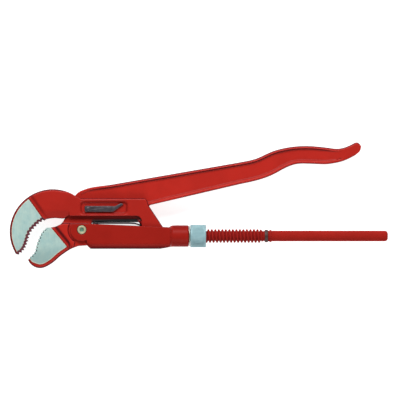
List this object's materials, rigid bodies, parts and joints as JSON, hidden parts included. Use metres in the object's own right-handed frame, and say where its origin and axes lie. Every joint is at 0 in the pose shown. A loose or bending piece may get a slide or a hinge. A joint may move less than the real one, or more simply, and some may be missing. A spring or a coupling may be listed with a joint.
{
  "type": "pipe wrench",
  "caption": "Swedish-pattern pipe wrench: S-shaped toothed jaws, an I-beam lever that crosses a box joint, and a nut on a threaded round handle that sets the opening.",
  "frame": {"origin": "centre of the underside of the bounding box, with the wrench lying flat on its sleeve", "axes": "+X along the spindle from the jaws to the handle ends, +Y from the spindle towards the I-beam handle, +Z through the thickness"},
  "size_m": [0.4206, 0.1398, 0.028],
  "materials": {
    "red_paint": "satin red paint over forged steel, ground bare on the jaw faces",
    "zinc_plate": "bluish zinc plate, finely knurled",
    "rivet_steel": "bright turned steel",
    "spring_steel": "dark blued spring steel",
    "ring_steel": "dull grey steel"
  },
  "bodies": {
    "hook_leg": {"hook_jaw": "red_paint", "threaded_spindle": "red_paint", "stop_ring": "ring_steel", "guide_spring": "spring_steel", "guide_spring_rivet": "spring_steel"},
    "sleeve": {"sleeve": "red_paint", "pivot_rivet": "rivet_steel", "thrust_washer": "rivet_steel"},
    "nut": {"adjusting_nut": "zinc_plate"},
    "lever": {"lower_jaw_lever": "red_paint", "return_spring": "spring_steel", "return_spring_rivet": "spring_steel"}
  },
  "joints": [
    {"name": "jaw_adjust", "type": "slide", "parent": "hook_leg", "child": "sleeve", "axis": [1, 0, 0], "range_m": [-0.005, 0.055]},
    {"name": "nut_spin", "type": "hinge", "parent": "sleeve", "child": "nut", "pos_m": [-0.0007, -0.03417, 0.014], "axis": [1, 0, 0], "range_deg": [-461.54, 5076.92]},
    {"name": "jaw_grip", "type": "hinge", "parent": "sleeve", "child": "lever", "pos_m": [-0.12995, -0.02717, 0.014], "axis": [0, 0, -1], "range_deg": [0, 5], "stiffness_Nm_per_rad": 4, "springref_deg": -6.88, "deforming": ["return_spring"]}
  ],
  "couplings": [
    {"joint": "nut_spin", "follows": "jaw_adjust", "rad_per_m": 1611.1}
  ]
}
